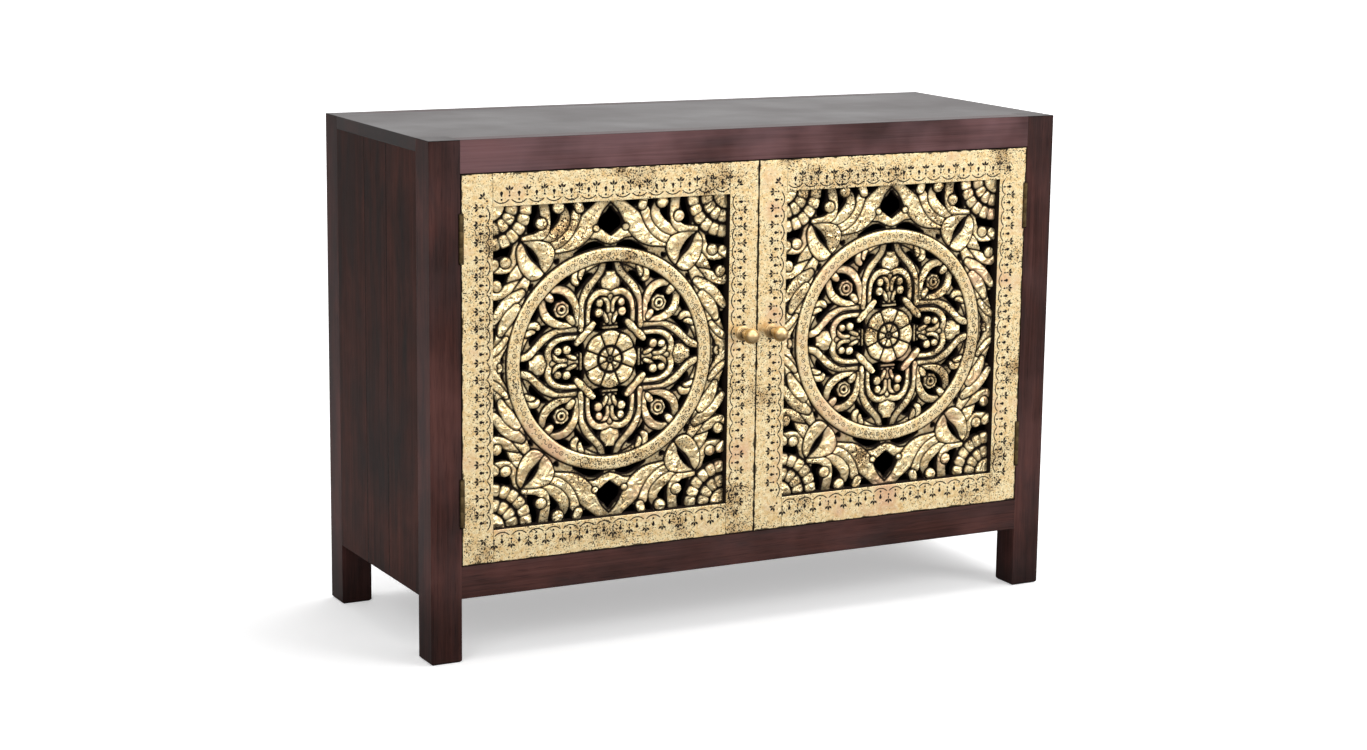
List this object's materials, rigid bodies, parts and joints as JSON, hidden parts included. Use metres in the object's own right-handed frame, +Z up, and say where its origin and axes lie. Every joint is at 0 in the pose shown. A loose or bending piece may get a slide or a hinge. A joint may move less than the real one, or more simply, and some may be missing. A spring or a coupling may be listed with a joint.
{
  "type": "sideboard cabinet",
  "caption": "Low wooden sideboard on short square legs, with pierced carved gilded doors hinged at the sides, round brass knobs and a shelf inside.",
  "frame": {"origin": "centre of the footprint on the floor; the footprint runs from the knobs' fronts to the back of the case", "axes": "+Z up, doors face -Y, +X to the right when facing the doors"},
  "size_m": [1.11, 0.4724, 0.8],
  "materials": {
    "stained_walnut": "dark walnut stain under satin lacquer",
    "gilded_wood": "antiqued gold leaf with dark speckle",
    "black_board": "matt black paint",
    "satin_brass": "satin antique brass",
    "aged_brass": "darkened brass",
    "zinc_steel": "zinc plated",
    "catch_case": "brown moulded case"
  },
  "bodies": {
    "case": {"back_panel": "stained_walnut", "bottom_board": "stained_walnut", "catch_left": "catch_case", "catch_right": "catch_case", "hinge_leaves_post_left": "aged_brass", "hinge_leaves_post_right": "aged_brass", "hinge_pins_left": "aged_brass", "hinge_pins_right": "aged_brass", "hinge_screws_post_left": "zinc_steel", "hinge_screws_post_right": "zinc_steel", "post_front_left": "stained_walnut", "post_front_right": "stained_walnut", "post_rear_left": "stained_walnut", "post_rear_right": "stained_walnut", "rail_front_bottom": "stained_walnut", "rail_front_top": "stained_walnut", "rail_rear_bottom": "stained_walnut", "rail_rear_top": "stained_walnut", "shelf": "stained_walnut", "shelf_cleat_left": "stained_walnut", "shelf_cleat_right": "stained_walnut", "side_plank_front_left": "stained_walnut", "side_plank_front_right": "stained_walnut", "side_plank_middle_left": "stained_walnut", "side_plank_middle_right": "stained_walnut", "side_plank_rear_left": "stained_walnut", "side_plank_rear_right": "stained_walnut", "top_board": "stained_walnut"},
    "left_door": {"backing_board_left": "black_board", "carved_panel_left": "gilded_wood", "door_rail_bottom_left": "gilded_wood", "door_rail_top_left": "gilded_wood", "door_stile_hinge_left": "gilded_wood", "door_stile_lock_left": "gilded_wood", "hinge_leaves_door_left": "aged_brass", "hinge_screws_door_left": "zinc_steel", "knob_left": "satin_brass", "knob_rose_left": "satin_brass", "knob_screw_left": "zinc_steel", "strike_plate_left": "zinc_steel"},
    "right_door": {"backing_board_right": "black_board", "carved_panel_right": "gilded_wood", "door_rail_bottom_right": "gilded_wood", "door_rail_top_right": "gilded_wood", "door_stile_hinge_right": "gilded_wood", "door_stile_lock_right": "gilded_wood", "hinge_leaves_door_right": "aged_brass", "hinge_screws_door_right": "zinc_steel", "knob_right": "satin_brass", "knob_rose_right": "satin_brass", "knob_screw_right": "zinc_steel", "strike_plate_right": "zinc_steel"}
  },
  "joints": [
    {"name": "left_door_hinge", "type": "hinge", "parent": "case", "child": "left_door", "pos_m": [-0.504, -0.19375, 0.45], "axis": [0, 0, -1], "range_deg": [0, 170]},
    {"name": "right_door_hinge", "type": "hinge", "parent": "case", "child": "right_door", "pos_m": [0.504, -0.19375, 0.45], "axis": [0, 0, 1], "range_deg": [0, 170]}
  ]
}
